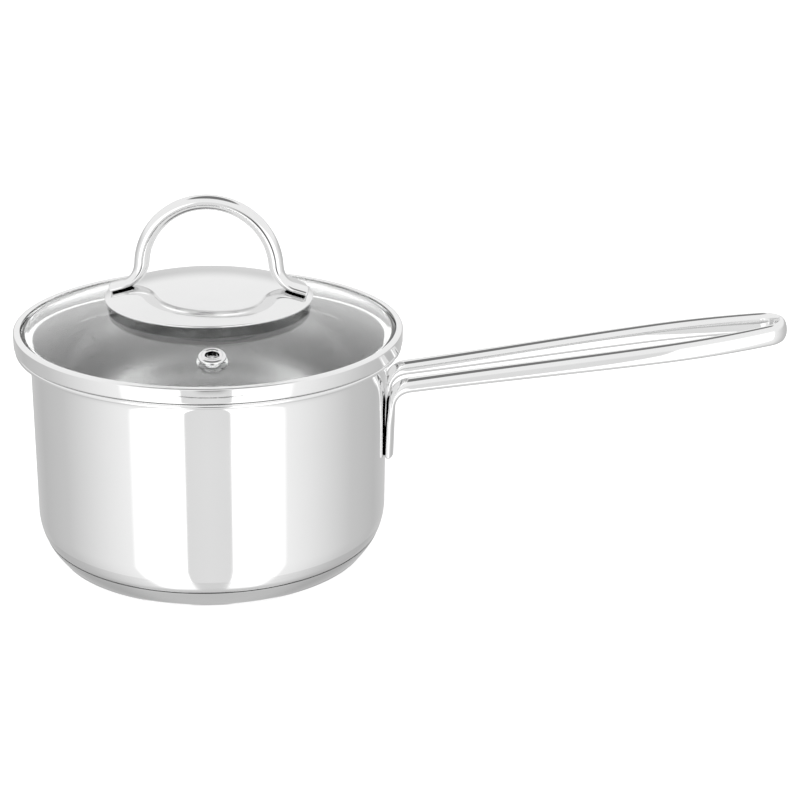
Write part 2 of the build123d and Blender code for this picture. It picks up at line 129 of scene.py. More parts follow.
def aim_camera():
    """A long lens above and in front of the lid, turned a little against the handle's line."""
    handle_azimuth = math.radians(4.65)
    pitch = 0.3586
    roll = 0.0216
    place = Vector((87.37, -735.3, 346.7)) * MM
    right = Vector((1, 0, 0))
    up = Vector((0, math.sin(pitch), math.cos(pitch)))
    forward = Vector((0, math.cos(pitch), -math.sin(pitch)))
    rolled_right = right * math.cos(roll) + up * math.sin(roll)
    rolled_up = up * math.cos(roll) - right * math.sin(roll)
    axes = Matrix((rolled_right, rolled_up, -forward)).transposed().to_4x4()
    turn = Matrix.Rotation(-handle_azimuth, 4, "Z")
    data = bpy.data.cameras.new("camera")
    data.lens = camera_lens
    data.sensor_width = camera_sensor
    camera = bpy.data.objects.new("camera", data)
    bpy.context.scene.collection.objects.link(camera)
    camera.matrix_world = turn @ Matrix.Translation(place) @ axes
    bpy.context.scene.camera = camera
    return camera


camera = aim_camera()


# ---------------------------------------------------------------- surfaces
def grid_quads(rows, columns, wrap_rows):
    """Four-cornered faces of a grid whose columns wrap round, and whose rows may."""
    row = np.arange(rows if wrap_rows else rows - 1)[:, None]
    column = np.arange(columns)[None, :]
    after_row, after_column = (row + 1) % rows, (column + 1) % columns
    corners = (
        row * columns + column,
        row * columns + after_column,
        after_row * columns + after_column,
        after_row * columns + column,
    )
    return np.stack(np.broadcast_arrays(*corners), -1).reshape(-1, 4)


def end_fans(rows, columns):
    """Fans that close a grid's first and last rows, to two points added after the grid's own."""
    last = (rows - 1) * columns
    return [
        (rows * columns, np.arange(columns), False),
        (rows * columns + 1, last + np.arange(columns), True),
    ]


def build(name, points, quads, fans, crease):
    """A smooth mesh from points in millimetres; each fan closes one ring of columns to a point."""
    faces = quads.tolist()
    for centre, ring, outward in fans:
        after = np.roll(ring, -1)
        pair = (ring, after) if outward else (after, ring)
        faces += np.stack([np.full(len(ring), centre), *pair], -1).tolist()
    mesh = bpy.data.meshes.new(name)
    mesh.from_pydata((np.asarray(points) * MM).tolist(), [], faces)
    mesh.shade_smooth()
    if crease:
        mesh.set_sharp_from_angle(angle=math.radians(crease))
    mesh.update()
    piece = bpy.data.objects.new(name, mesh)
    bpy.context.scene.collection.objects.link(piece)
    return piece


def turned(name, profile, crease=32):
    """Radius and height pairs carried once round the axis: x = r cos a, y = r sin a.

    A profile that starts and ends on the axis is closed there by fans; any other is a closed loop.
    """
    profile = np.asarray(profile, float)
    on_axis = profile[0, 0] < 1e-6
    rings = profile[1:-1] if on_axis else profile
    angle = np.linspace(0, 2 * np.pi, turns, endpoint=False)
    radius, height = rings[:, :1], rings[:, 1:]
    points = np.stack(np.broadcast_arrays(radius * np.cos(angle), radius * np.sin(angle), height), -1)
    points = points.reshape(-1, 3)
    quads = grid_quads(len(rings), turns, not on_axis)
    fans = []
    if on_axis:
        fans = end_fans(len(rings), turns)
        points = np.vstack([points, (0, 0, profile[0, 1]), (0, 0, profile[-1, 1])])
    return build(name, points, quads, fans, crease)


def swept(name, centres, side, ahead, depth, rod_radius, end_round, steps=48):
    """A pressed rod carried along a line of places, its ends drawn in by a quarter circle.

    Every section is an oval of the rod's own area: depth across the side vector, and the rod's
    radius squared over the depth along it. A point is the place plus the oval's width share
    along the side vector plus its depth share along the heading's cross product with it.
    """
    side = side / np.linalg.norm(side, axis=1)[:, None]
    other = np.cross(ahead, side)
    other = other / np.linalg.norm(other, axis=1)[:, None]
    run = np.concatenate([[0], np.cumsum(np.linalg.norm(np.diff(centres, axis=0), axis=1))])
    near_end = np.clip(np.minimum(run, run[-1] - run) / end_round, 0, 1)
    inset = end_round * (1 - np.sqrt(1 - (1 - near_end) ** 2))
    angle = np.linspace(0, 2 * np.pi, steps, endpoint=False)
    wide = (rod_radius ** 2 / depth - inset)[:, None] * np.cos(angle)
    deep = (depth - inset)[:, None] * np.sin(angle)
    points = centres[:, None] + wide[..., None] * side[:, None] + deep[..., None] * other[:, None]
    rows, columns = points.shape[:2]
    points = np.vstack([points.reshape(-1, 3), centres[:1], centres[-1:]])
    quads = grid_quads(rows, columns, False)
    return build(name, points, quads, end_fans(rows, columns), rod_crease)


def arc(centre, radius, start, end, steps=16):
    """Points of a circle between two angles in degrees."""
    angle = np.radians(np.linspace(start, end, steps))
    return np.stack([centre[0] + radius * np.cos(angle), centre[1] + radius * np.sin(angle)], -1)


def line(start, end, steps=2):
    share = np.linspace(0, 1, steps)[:, None]
    return np.asarray(start) * (1 - share) + np.asarray(end) * share


def chain(*runs):
    """Joins runs of points and drops the doubled ones."""
    points = np.vstack([np.atleast_2d(run) for run in runs])
    keep = np.ones(len(points), bool)
    keep[1:] = np.linalg.norm(np.diff(points, axis=0), axis=1) > 1e-4
    return points[keep]


def dome(centre_height, radius, near, far, steps=40):
    """Points of a domed face between two distances from the axis."""
    distance = np.linspace(near, far, steps)
    return np.stack([distance, centre_height + np.sqrt(radius ** 2 - distance ** 2)], -1)


def ease(share):
    return share * share * (3 - 2 * share)


# ---------------------------------------------------------------- pieces
corner_centre = (pan_radius - corner_radius, corner_height)


def pan_profile():
    """The drawn sheet: out along the floor, up the wall, over the bead and back down inside."""
    height = floor_underside + floor_radius
    drop = corner_height - height
    reach = corner_radius - floor_radius
    tight = (corner_centre[0] + math.sqrt(reach ** 2 - drop ** 2), height)
    meet = math.degrees(math.atan2(height - corner_height, tight[0] - corner_centre[0]))
    flare = (pan_radius + flare_radius, rim_top - wall - flare_radius)
    bead = (flare[0], rim_top - rim_bead_radius)
    into_bead = math.degrees(math.asin((bead[1] - flare[1]) / flare_radius))
    outside = chain(
        line((0, floor_underside), (tight[0], floor_underside), 8),
        arc(tight, floor_radius, -90, meet, 14),
        arc(corner_centre, corner_radius, meet, 0, 18),
        line((pan_radius, corner_height), (pan_radius, flare[1]), 24),
        arc(flare, flare_radius, 180, 180 - into_bead + 1.5, 16),
        arc(bead, rim_bead_radius, 180, 450, 26),
    )
    inside = chain(
        arc(flare, flare_radius + wall, 90, 180, 18),
        line((pan_radius - wall, flare[1]), (pan_radius - wall, corner_height), 24),
        arc(corner_centre, corner_radius - wall, 0, meet, 18),
        arc(tight, floor_radius - wall, meet, -90, 14),
        line((tight[0], floor_underside + wall), (0, floor_underside + wall), 30),
    )
    return chain(outside, inside)


def cap_profile():
    """The base cap: turned grooves underneath, the corner's arc outside, a thin lip on top."""
    side_low = corner_centre[0] + math.sqrt(corner_radius ** 2 - corner_height ** 2)
    top = math.degrees(math.asin((cap_high.z - corner_height) / corner_radius))
    edge_top = 0.8
    low = math.degrees(math.asin((edge_top - corner_height) / corner_radius))
    foot = side_low - cap_edge_round * 0.9
    under = [np.array([[0, 0.0]])]
    half = base_groove_width / 2
    for groove in sorted(base_groove_radii):
        under.append(line((groove - half, 0), (groove - half * 0.6, base_groove_depth)))
        under.append(line((groove + half * 0.6, base_groove_depth), (groove + half, 0)))
    side = arc(corner_centre, corner_radius, low, top, 16)
    edge = arc((foot, edge_top), edge_top, -90, -25, 6)
    edge[:, 0] = foot + (edge[:, 0] - foot) * (side[0, 0] - foot) / (edge[-1, 0] - foot)
    inside = corner_radius - cap_wall
    inner_top = math.degrees(math.asin((cap_high.z - cap_wall - corner_height) / inside))
    inner_low = math.degrees(math.asin((cap_wall - corner_height) / inside))
    inner = arc(corner_centre, inside, inner_top, inner_low, 12)
    lip = line(side[-1], (side[-1, 0] - 0.4, cap_high.z))
    return chain(*under, edge, side, lip, inner, line(inner[-1], (0, cap_wall)))


def ring_profile():
    """The rolled ring: outer band, lip over the glass, flange over the rim and inner skirt."""
    outer, top, bottom = ring_high.x, ring_high.z, ring_low.z
    flange = rim_top + lid_gap
    skirt = outer - skirt_inset
    lip = outer - ring_lip_reach
    under_lip = top - ring_lip_thickness
    channel = outer - ring_wall
    r, hem, tip = ring_round, ring_wall * 0.45, ring_lip_thickness * 0.45
    shoulder = top - 0.15
    inner_round = ring_wall * 0.9
    inner_corner = skirt - ring_wall + inner_round
    return chain(
        arc((skirt - hem, bottom + hem), hem, -90, 0, 6),
        line((skirt, flange - 0.1), (skirt + 0.1, flange)),
        line((skirt + 0.2, flange), (outer - r, flange), 6),
        arc((outer - r, flange + r), r, -90, 0, 12),
        arc((outer - r, shoulder - r), r, 0, 88, 12),
        arc((lip + tip, top - tip), tip, 90, 270, 12),
        line((lip + tip, under_lip), (channel, under_lip)),
        line((channel, under_lip), (channel, flange + ring_wall)),
        line((channel, flange + ring_wall), (inner_corner, flange + ring_wall), 5),
        arc((inner_corner, flange + ring_wall - inner_round), inner_round, 90, 180, 8),
        line((skirt - ring_wall, flange - 1), (skirt - ring_wall, bottom + hem), 6),
        arc((skirt - ring_wall + hem, bottom + hem), hem, 180, 270, 6),
    )


glass_centre = glass_high.z - glass_dome_radius
glass_edge = ring_high.x - ring_wall - lid_gap


def glass_profile():
    """The domed pane with its rounded edge, flat foot and centre hole.

    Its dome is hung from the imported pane's top, which is the hole's edge, a hair under the
    dome's own highest point.
    """
    foot = rim_top + lid_gap + ring_wall + lid_gap
    foot_inner = glass_edge - glass_foot_width
    r = ring_round
    top = dome(glass_centre, glass_dome_radius, glass_hole_radius, glass_edge - r, 60)
    slope = math.degrees(math.asin((glass_edge - r) / glass_dome_radius))
    edge_top = top[-1, 1] - r
    inner_radius = glass_dome_radius - glass_thickness
    under = dome(glass_centre, inner_radius, foot_inner - 1, glass_hole_radius, 60)
    step_top = under[0, 1]
    return chain(
        line((foot_inner + 0.4, foot), (glass_edge - r, foot), 4),
        arc((glass_edge - r, foot + r), r, -90, 0, 10),
        arc((glass_edge - r, edge_top + 0.02), r, 0, 90 - slope * 0.2, 10),
        top[::-1],
        under[::-1],
        arc((foot_inner - 1, step_top - 1.0), 1.0, 70, 0, 6),
        line((foot_inner, foot + 0.4), (foot_inner + 0.4, foot)),
    )


def plate_profile():
    """The thin domed plate under the knob, with a rolled edge."""
    half = plate_thickness / 2
    edge_radius = (plate_high.x - plate_low.x) / 2 - half
    centre = plate_top - plate_dome_radius
    slope = math.degrees(math.asin(edge_radius / plate_dome_radius))
    middle_radius = plate_dome_radius - half
    edge_height = centre + math.sqrt(middle_radius ** 2 - edge_radius ** 2)
    rolled = arc((edge_radius, edge_height), half, -90 - slope, 90 - slope, 12)
    top = dome(centre, plate_dome_radius, rolled[-1, 0], 0, 50)
    under = dome(centre, plate_dome_radius - plate_thickness, 0, rolled[0, 0], 50)
    return chain(under, rolled, top)


def eyelet_profile():
    """The eyelet from its clinched foot, up the outside, over the rolled flange and down the bore."""
    tube = vent_hole_radius + vent_tube_wall
    flange = vent_flange_radius
    washer = -glass_thickness - vent_washer_gap - vent_washer_thickness
    clinch = washer - vent_tube_wall
    return chain(
        arc((tube + 0.35, washer - 0.45), 0.42, -120, 60, 10),
        line((tube, washer), (tube, 0), 4),
        line((tube, 0), (flange - 0.3, 0), 3),
        arc((flange - 0.35, 0.35), 0.35, -90, 0, 6),
        arc((flange - 1.0, 0.35), 1.0, 0, 68, 10),
        arc((4.55, 1.42), 0.16, -20, -160, 6),
        arc((3.9, 1.0), 0.75, 62, 112, 8),
        arc((vent_hole_radius + 0.7, 1.05), 0.7, 120, 180, 8),
        line((vent_hole_radius, 1.0), (vent_hole_radius, clinch + 0.2), 6),
        line((vent_hole_radius + 0.15, clinch), (tube, clinch)),
    )


def end_steps(end_round, length):
    """Distances along a straight end: close together over its rounding, then wider apart."""
    close = end_round * (1 - np.cos(np.linspace(0, math.pi / 2, 7)))
    return np.concatenate([close, np.linspace(end_round, length, 30)[1:]])


def loop_arcs(start, along, across):
    """Half the loop from the arm's end: a wide side arc, then a tight one to the tip's middle.

    Gives the places, the outward vectors and the headings.
    """
    half_loop = loop_spacing / 2
    tip_offset = loop_length - loop_tip_radius
    side_radius = tip_offset ** 2 + half_loop ** 2 - loop_tip_radius ** 2
    side_radius = side_radius / (2 * (half_loop - loop_tip_radius))
    side_turn = math.atan2(tip_offset, side_radius - half_loop)
    steps = 29
    side_angle = np.linspace(0, side_turn, steps + 1)[1:]
    tip_angle = np.linspace(side_turn, math.pi / 2, steps + 1)[1:]
    angle = np.concatenate([side_angle, tip_angle])[:, None]
    on_side = np.arange(len(angle))[:, None] < steps
    out = along * np.sin(angle) + across * np.cos(angle)
    centre = np.where(on_side, across * (half_loop - side_radius), along * tip_offset)
    places = start + centre + np.where(on_side, side_radius, loop_tip_radius) * out
    return places, out, along * np.cos(angle) - across * np.sin(angle)


def handle_line():
    """The rod's places, side vectors, headings and half depths, one leg's foot to the other's.

    One half is a straight leg that turns from the wall's tangent to square, a quarter bend
    about a level axis, a straight arm that widens by a smooth step, a wide side arc and half
    the tip arc; the other half is its mirror, run backwards.
    """
    across = np.array([0.0, 1.0, 0.0])
    along = np.array([math.cos(handle_tilt), 0, math.sin(handle_tilt)])
    leg_way = np.array([math.sin(leg_lean), 0, math.cos(leg_lean)])
    half_legs, half_loop = leg_spacing / 2, loop_spacing / 2
    leg_distance = pan_radius + leg_thickness / 2 - weld_depth
    foot = np.array([math.sqrt(leg_distance ** 2 - half_legs ** 2), half_legs, handle_low.z])
    crossing = leg_length_below / (math.cos(leg_lean) - math.sin(leg_lean) * math.tan(handle_tilt))
    turn = math.pi / 2 - leg_lean - handle_tilt
    leg_length = crossing - bend_radius * math.tan(turn / 2)
    length = end_steps(leg_end_round, leg_length)[:, None]
    leg = foot + leg_way * length
    lean = np.clip((leg_length - length) / leg_twist_length, 0, 1)
    lean = lean * math.atan2(half_legs, foot[0])
    leg_side = np.hstack([-np.sin(lean), np.cos(lean), 0 * lean])
    leg_ahead = np.tile(leg_way, (len(leg), 1))
    leg_depth = np.full(len(leg), leg_thickness / 2)

    share = np.linspace(0, 1, 24)[1:, None]
    angle = leg_lean + turn * share
    centre = leg[-1] + bend_radius * np.array([math.cos(leg_lean), 0, -math.sin(leg_lean)])
    bend = centre + bend_radius * np.hstack([-np.cos(angle), 0 * angle, np.sin(angle)])
    bend_ahead = np.hstack([np.sin(angle), 0 * angle, np.cos(angle)])
    bend_side = np.tile(across, (len(bend), 1))
    bend_depth = leg_thickness / 2 + (handle_rod_radius - leg_thickness / 2) * ease(share[:, 0])

    start = bend[-1] * [1, 0, 1]
    tip_x = handle_high.x - 2 * handle_rod_radius ** 2 / loop_height
    arm_length = (tip_x - start[0]) / math.cos(handle_tilt) - loop_length
    share = np.linspace(0, 1, 70)[1:, None]
    widening = half_loop - half_legs
    arm = start + along * arm_length * share + across * (half_legs + widening * ease(share))
    arm_ahead = along + across * (widening * 6 * share * (1 - share) / arm_length)
    arm_side = np.tile(across, (len(arm), 1))

    loop, out, loop_ahead = loop_arcs(start + along * arm_length, along, across)

    centres = np.vstack([leg, bend, arm, loop])
    run = np.cumsum(np.linalg.norm(np.diff(centres, axis=0), axis=1))
    first = len(leg) + len(bend) - 1
    gone = (run[first:] - run[first - 1]) / (run[-1] - run[first - 1])
    grown = handle_rod_radius + (loop_height / 2 - handle_rod_radius) * gone
    depth = np.concatenate([leg_depth, bend_depth, grown])
    side = np.vstack([leg_side, bend_side, arm_side, out])
    ahead = np.vstack([leg_ahead, bend_ahead, arm_ahead, loop_ahead])
    mirror = np.array([1, -1, 1])
    # The mirrored half's side vectors point inwards, so the sections turn half round in the one
    # step at the tip.
    centres = np.vstack([centres, (centres * mirror)[-2::-1]])
    side = np.vstack([side, -(side * mirror)[-2::-1]])
    ahead = np.vstack([ahead, -(ahead * mirror)[-2::-1]])
    depth = np.concatenate([depth, depth[-2::-1]])
    return centres, side, ahead, depth


def knob_line():
    """The knob rod's line: a foot along the plate's dome, an outward bend, the arch, and back."""
    lean = math.asin((knob_foot_reach - knob_rod_radius) / plate_dome_radius)
    out = np.array([math.cos(lean), -math.sin(lean)])
    clear = np.array([math.sin(lean), math.cos(lean)])
    arch_centre = np.array([0, plate_top + arch_rise])
    foot_distance = plate_dome_radius + knob_foot_thickness / 2 - knob_weld_depth
    foot_point = np.array([0, plate_top - plate_dome_radius]) + clear * foot_distance
    reach = foot_point + clear * knob_bend_radius - arch_centre
    share = reach @ out
    gap = reach @ reach - (arch_radius + knob_bend_radius) ** 2
    bend_centre = reach + arch_centre + out * (math.sqrt(share ** 2 - gap) - share)
    arch_end = math.atan2(bend_centre[1] - arch_centre[1], bend_centre[0])
    bend_end = bend_centre - clear * knob_bend_radius
    foot_end = bend_end + out * ((knob_foot_reach - bend_end[0]) / out[0])
    foot_length = np.linalg.norm(foot_end - bend_end)
    foot = foot_end - out * end_steps(knob_foot_round, foot_length)[:, None]
    turn = np.linspace(0, 1, 40)[1:, None]
    angle = math.pi * 1.5 - lean - (math.pi / 2 - lean - arch_end) * turn
    bend = bend_centre + knob_bend_radius * np.hstack([np.cos(angle), np.sin(angle)])
    bend_ahead = np.hstack([np.sin(angle), -np.cos(angle)])
    angle = np.linspace(arch_end, math.pi / 2, 70)[1:, None]
    arch = arch_centre + arch_radius * np.hstack([np.cos(angle), np.sin(angle)])
    arch_ahead = np.hstack([-np.sin(angle), np.cos(angle)])
    thin = knob_foot_thickness / 2
    grown = thin + (knob_rod_radius - thin) * ease(turn[:, 0])
    depth = np.concatenate([np.full(len(foot), thin), grown, np.full(len(arch), knob_rod_radius)])
    flat = np.vstack([foot, bend, arch])
    ahead = np.vstack([np.tile(-out, (len(foot), 1)), bend_ahead, arch_ahead])
    flat = np.vstack([flat, (flat * [-1, 1])[-2::-1]])
    ahead = np.vstack([ahead, (ahead * [1, -1])[-2::-1]])
    depth = np.concatenate([depth, depth[-2::-1]])
    cos, sin = math.cos(knob_turn), math.sin(knob_turn)
    centres = np.stack([flat[:, 0] * cos, flat[:, 0] * sin, flat[:, 1]], -1)
    ahead = np.stack([ahead[:, 0] * cos, ahead[:, 0] * sin, ahead[:, 1]], -1)
    side = np.tile([-sin, cos, 0.0], (len(flat), 1))
    return centres, side, ahead, depth


def vent_frame():
    """The turn and shift that stand a piece on the glass at the vent, square to the dome."""
    middle = (vent_low + vent_high) / 2
    bearing = math.atan2(middle.y, middle.x)
    lean = math.asin(vent_distance / glass_dome_radius)
    place = Matrix.Translation((0, 0, glass_centre * MM))
    place = place @ Matrix.Rotation(bearing, 4, "Z") @ Matrix.Rotation(lean, 4, "Y")
    return place @ Matrix.Translation((0, 0, glass_dome_radius * MM))


def cut_vent_hole(pane):
    """Bores the pane at the vent, a little wider than the eyelet's tube."""
    tube = vent_hole_radius + vent_tube_wall + 0.15
    reach = 9
    outline = [(0, -reach), (tube, -reach), (tube, reach), (0, reach)]
    drill = turned("drill", outline)
    drill.data.transform(vent_frame())
    cut = pane.modifiers.new("bore", "BOOLEAN")
    cut.operation = "DIFFERENCE"
    cut.object = drill
    bpy.context.view_layer.update()
    graph = bpy.context.evaluated_depsgraph_get()
    bored = bpy.data.meshes.new_from_object(pane.evaluated_get(graph))
    pane.modifiers.clear()
    pane.data = bored
    bpy.data.objects.remove(drill)
    bored.shade_smooth()
    bored.set_sharp_from_angle(angle=math.radians(40))


def settle(piece, node, body):
    """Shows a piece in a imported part's place and lets it ride with that part's body."""
    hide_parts(node)
    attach(piece, body)
    return piece


pan = settle(turned("pan_shell", pan_profile()), "pot_body", "pan")
cap = settle(turned("base_shell", cap_profile()), "base_cap", "pan")
ring = settle(turned("lid_band", ring_profile()), "lid_rim_ring", "lid_rim")
pane = turned("lid_pane", glass_profile())
cut_vent_hole(pane)
settle(pane, "lid_glass", "lid")
plate = settle(turned("knob_dome", plate_profile()), "knob_plate", "lid")
eyelet = turned("vent_collar", eyelet_profile(), 45)
eyelet.data.transform(vent_frame())
settle(eyelet, "vent_eyelet", "lid")
handle = swept("handle_rod", *handle_line(), handle_rod_radius, leg_end_round)
settle(handle, "long_handle", "pan")
knob = swept("knob_rod", *knob_line(), knob_rod_radius, knob_foot_round)
settle(knob, "knob_loop", "lid")


# ---------------------------------------------------------------- finishes
class Wire:
    """One output socket of a material's node tree; arithmetic on it adds Math nodes."""

    def __init__(self, tree, socket):
        self.tree = tree
        self.socket = socket

    def node(self, kind, settings=None, output=0, **values):
        """Adds a node, sets it up, then fills its inputs with values or links."""
        return add_node(self.tree, kind, settings, output, **values)

    def math(self, operation, *others):
        node = self.tree.nodes.new("ShaderNodeMath")
        node.operation = operation
        for slot, value in zip(node.inputs, (self, *others)):
            feed(self.tree, slot, value)
        return Wire(self.tree, node.outputs[0])

    def __add__(self, other):
        return self.math("ADD", other)

    def __mul__(self, other):
        return self.math("MULTIPLY", other)

    def __sub__(self, other):
        return self.math("SUBTRACT", other)

    def __rsub__(self, other):
        return (self * -1).math("ADD", other)

    def __truediv__(self, other):
        return self.math("DIVIDE", other)

    __radd__ = __add__
    __rmul__ = __mul__

    def between(self, low, high, start=0.0, end=1.0):
        """Runs smoothly from start to end as the value goes from low to high."""
        settings = {"interpolation_type": "SMOOTHSTEP"}
        return self.node("ShaderNodeMapRange", settings, v0=self, v1=low, v2=high, v3=start, v4=end)


def feed(tree, slot, value):
    if isinstance(value, Wire):
        tree.links.new(value.socket, slot)
    else:
        slot.default_value = value


def add_node(tree, kind, settings=None, output=0, **values):
    """A node with its settings made first; vN fills input N, any other name fills by name."""
    node = tree.nodes.new(kind)
    for name, value in (settings or {}).items():
        if name == "stops":
            paint_ramp(node.color_ramp, value)
        else:
            setattr(node, name, value)
    for name, value in values.items():
        by_place = name[0] == "v" and name[1:].isdigit()
        slot = node.inputs[int(name[1:])] if by_place else node.inputs[name.replace("_", " ")]
        feed(tree, slot, value)
    return Wire(tree, node.outputs[output])


def paint_ramp(ramp, stops):
    """Sets a colour ramp's stops from place and brightness pairs."""
    while len(ramp.elements) < len(stops):
        ramp.elements.new(1.0)
    for element, (place, tone) in zip(ramp.elements, stops):
        element.position = place
        element.color = (tone, tone, tone, 1)


class Finish:
    """A material: the shader's fixed values at once, what varies through wires."""

    def __init__(self, name, colour, **fixed):
        self.material = bpy.data.materials.new(name)
        self.material.use_nodes = True
        self.tree = self.material.node_tree
        self.shader = next(n for n in self.tree.nodes if n.type == "BSDF_PRINCIPLED")
        self.shader.inputs["Base Color"].default_value = (*colour, 1)
        for key, value in fixed.items():
            self.shader.inputs[key.replace("_", " ")].default_value = value
        place = add_node(self.tree, "ShaderNodeTexCoord", output=3)
        self.place = place
        self.x = add_node(self.tree, "ShaderNodeSeparateXYZ", v0=place)
        self.y = Wire(self.tree, self.x.socket.node.outputs[1])
        self.z = Wire(self.tree, self.x.socket.node.outputs[2])
        self.radius = (self.x * self.x + self.y * self.y).math("SQRT")

    def noise(self, scale, detail=3.0, where=None, stretch=(1, 1, 1), rough=0.5):
        """Smooth noise, by default in the piece's own space; stretch squeezes it along an axis."""
        source = where or self.place
        mapped = add_node(self.tree, "ShaderNodeMapping", Vector=source, Scale=stretch)
        return add_node(
            self.tree, "ShaderNodeTexNoise", Vector=mapped, Scale=scale, Detail=detail, Roughness=rough
        )

    def vector(self, x, y, z):
        return add_node(self.tree, "ShaderNodeCombineXYZ", v0=x, v1=y, v2=z)

    def set(self, slot, value):
        feed(self.tree, self.shader.inputs[slot], value)

    def shade(self, mask, low, high):
        """Base colour between two greys as the mask runs from 0 to 1."""
        stops = [(0.0, low), (1.0, high)]
        ramp = add_node(self.tree, "ShaderNodeValToRGB", {"stops": stops}, v0=mask)
        self.set("Base Color", ramp)

    def relief(self, height, depth, strength=1.0):
        bump = add_node(
            self.tree, "ShaderNodeBump", Height=height, Distance=depth, Strength=strength
        )
        self.set("Normal", bump)

    def dress(self, *pieces):
        for piece in pieces:
            piece.data.materials.clear()
            piece.data.materials.append(self.material)
        return self.material


def scratches(finish, scale, width):
    """Sparse fine scratches: thin level lines of stretched noise, in two leaning directions."""
    total = None
    for lean, seed in ((0.6, 0.0), (-0.9, 7.3)):
        turned_place = add_node(
            finish.tree,
            "ShaderNodeMapping",
            Vector=finish.place,
            Rotation=(lean, lean * 0.7, lean),
            Location=(seed, seed, seed),
            Scale=(1, 14, 14),
        )
        field = add_node(
            finish.tree, "ShaderNodeTexNoise", Vector=turned_place, Scale=scale, Detail=1.0
        )
        line_mask = (field - 0.5).math("ABSOLUTE").between(0.0, width, 1.0, 0.0)
        total = line_mask if total is None else total.math("MAXIMUM", line_mask)
    return total


def polished_steel(name, tone, haze, ring_lines=0.0):
    """Mirror-polished steel: soft patches of polish, fine wipe marks and, where it was turned,
    hairline rings that follow height and radius."""
    finish = Finish(name, (tone, tone, tone), Metallic=1.0, Roughness=haze)
    patches = finish.noise(26.0, 4.0)
    marks = scratches(finish, 55.0, 0.012)
    finish.set("Roughness", patches.between(0.35, 0.7, haze * 0.7, haze * 1.35) + marks * 0.05)
    finish.shade(patches.between(0.3, 0.75), tone * 0.985, tone * 1.01)
    if ring_lines:
        rings = finish.noise(1.0, 2.0, finish.vector(0.0, finish.radius * 2600.0, finish.z * 2600.0))
        finish.relief(rings + marks * 0.3, ring_lines)
    else:
        finish.relief(finish.noise(420.0, 2.0) + marks * 0.4, 0.0000012)
    return finish


def pan_steel():
    """The pan's shell: mirror outside, ring-brushed satin inside, told apart by radius and height."""
    finish = Finish("pan_steel", (0.86, 0.86, 0.86), Metallic=1.0)
    inner_wall = (pan_radius - wall * 0.5) * MM
    above_floor = (floor_underside + wall * 0.5) * MM
    inside = (inner_wall - finish.radius).between(0.0, 0.0001) * (finish.z - above_floor).between(0.0, 0.0001)
    # Painted light: the inside's colour is made a little lighter higher up the wall, towards the rim, a
    # painted stand-in for the light that reaches the upper inside wall.
    painted_rim_light = finish.z.between(0.012, 0.05)
    patches = finish.noise(22.0, 4.0)
    marks = scratches(finish, 45.0, 0.01)
    rings = finish.noise(1.0, 2.0, finish.vector(0.0, finish.radius * 2400.0, finish.z * 2400.0))
    polish = patches.between(0.35, 0.7, 0.035, 0.06) + marks * 0.04
    satin = rings.between(0.3, 0.7, 0.1, 0.16)
    finish.set("Roughness", polish * (1 - inside) + satin * inside)
    tone = patches.between(0.3, 0.75, 0.87, 0.885)
    # Base colour: inside, the turned rings' tone plus the painted rim light; outside, the polish's random
    # tone.
    shell_tone_with_painted_rim_light = (rings * 0.03 + 0.76 + painted_rim_light * 0.02) * inside + tone * (1 - inside)
    finish.shade(shell_tone_with_painted_rim_light, 0.0, 1.0)
    finish.relief(rings * (0.35 + inside * 0.6) + marks * 0.2, 0.0000011)
    return finish


def turned_steel():
    """The base cap: satin from turning, with fine rings and a few darker wear arcs underneath."""
    finish = Finish("turned_base_steel", (0.7, 0.7, 0.7), Metallic=1.0)
    rings = finish.noise(1.0, 3.0, finish.vector(0.0, finish.radius * 1500.0, finish.z * 1500.0))
    wear = finish.noise(38.0, 4.0).between(0.45, 0.75)
    under = finish.z.between(0.0006, 0.0002)
    finish.set("Roughness", rings.between(0.3, 0.7, 0.1, 0.2) + under * 0.12 + wear * under * 0.1)
    finish.shade(rings * 0.05 + 0.66 - wear * under * 0.1, 0.0, 1.0)
    finish.relief(rings, 0.000004)
    return finish


def lid_glass():
    """Clear tempered glass with a faint grey-green body, water-mark haze and fine wipe marks."""
    finish = Finish(
        "tempered_glass", (0.945, 0.95, 0.948), Transmission_Weight=1.0, IOR=1.5, Roughness=0.0
    )
    smears = finish.noise(14.0, 3.0).between(0.5, 0.85, 0.0, 0.02)
    finish.set("Roughness", smears + scratches(finish, 30.0, 0.006) * 0.03)
    return finish


def fastener_steel():
    """Plain machined steel: concentric tool marks about the screw's axis and dull patches."""
    finish = Finish("fastener_steel", (0.66, 0.66, 0.66), Metallic=1.0)
    rings = finish.noise(1.0, 2.0, finish.vector(0.0, finish.radius * 2800.0, finish.z * 900.0))
    patches = finish.noise(160.0, 3.0)
    finish.set("Roughness", rings.between(0.3, 0.7, 0.18, 0.3) + patches * 0.08)
    finish.shade(patches * 0.12 + 0.58, 0.0, 1.0)
    finish.relief(rings, 0.000006)
    return finish


def silicone():
    """Pale silicone rubber: slightly milky, with a dusty, finely grained skin."""
    finish = Finish("silicone", (0.75, 0.75, 0.74), Roughness=0.45, Subsurface_Weight=0.2)
    finish.shader.inputs["Subsurface Radius"].default_value = (0.002, 0.002, 0.002)
    dust = finish.noise(300.0, 3.0)
    finish.shade(dust * 0.15 + 0.66, 0.0, 1.0)
    finish.set("Roughness", dust.between(0.3, 0.7, 0.38, 0.55))
    finish.relief(finish.noise(2200.0, 2.0), 0.00001)
    return finish


def core_aluminium():
    """Rolled aluminium plate: soft grain in one direction."""
    finish = Finish("core_aluminium", (0.75, 0.76, 0.77), Metallic=1.0)
    grain = finish.noise(300.0, 3.0, stretch=(1, 12, 12))
    finish.set("Roughness", grain.between(0.3, 0.7, 0.3, 0.45))
    finish.relief(grain, 0.00001)
    return finish


def cad(*names):
    return [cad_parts[name] for name in names]


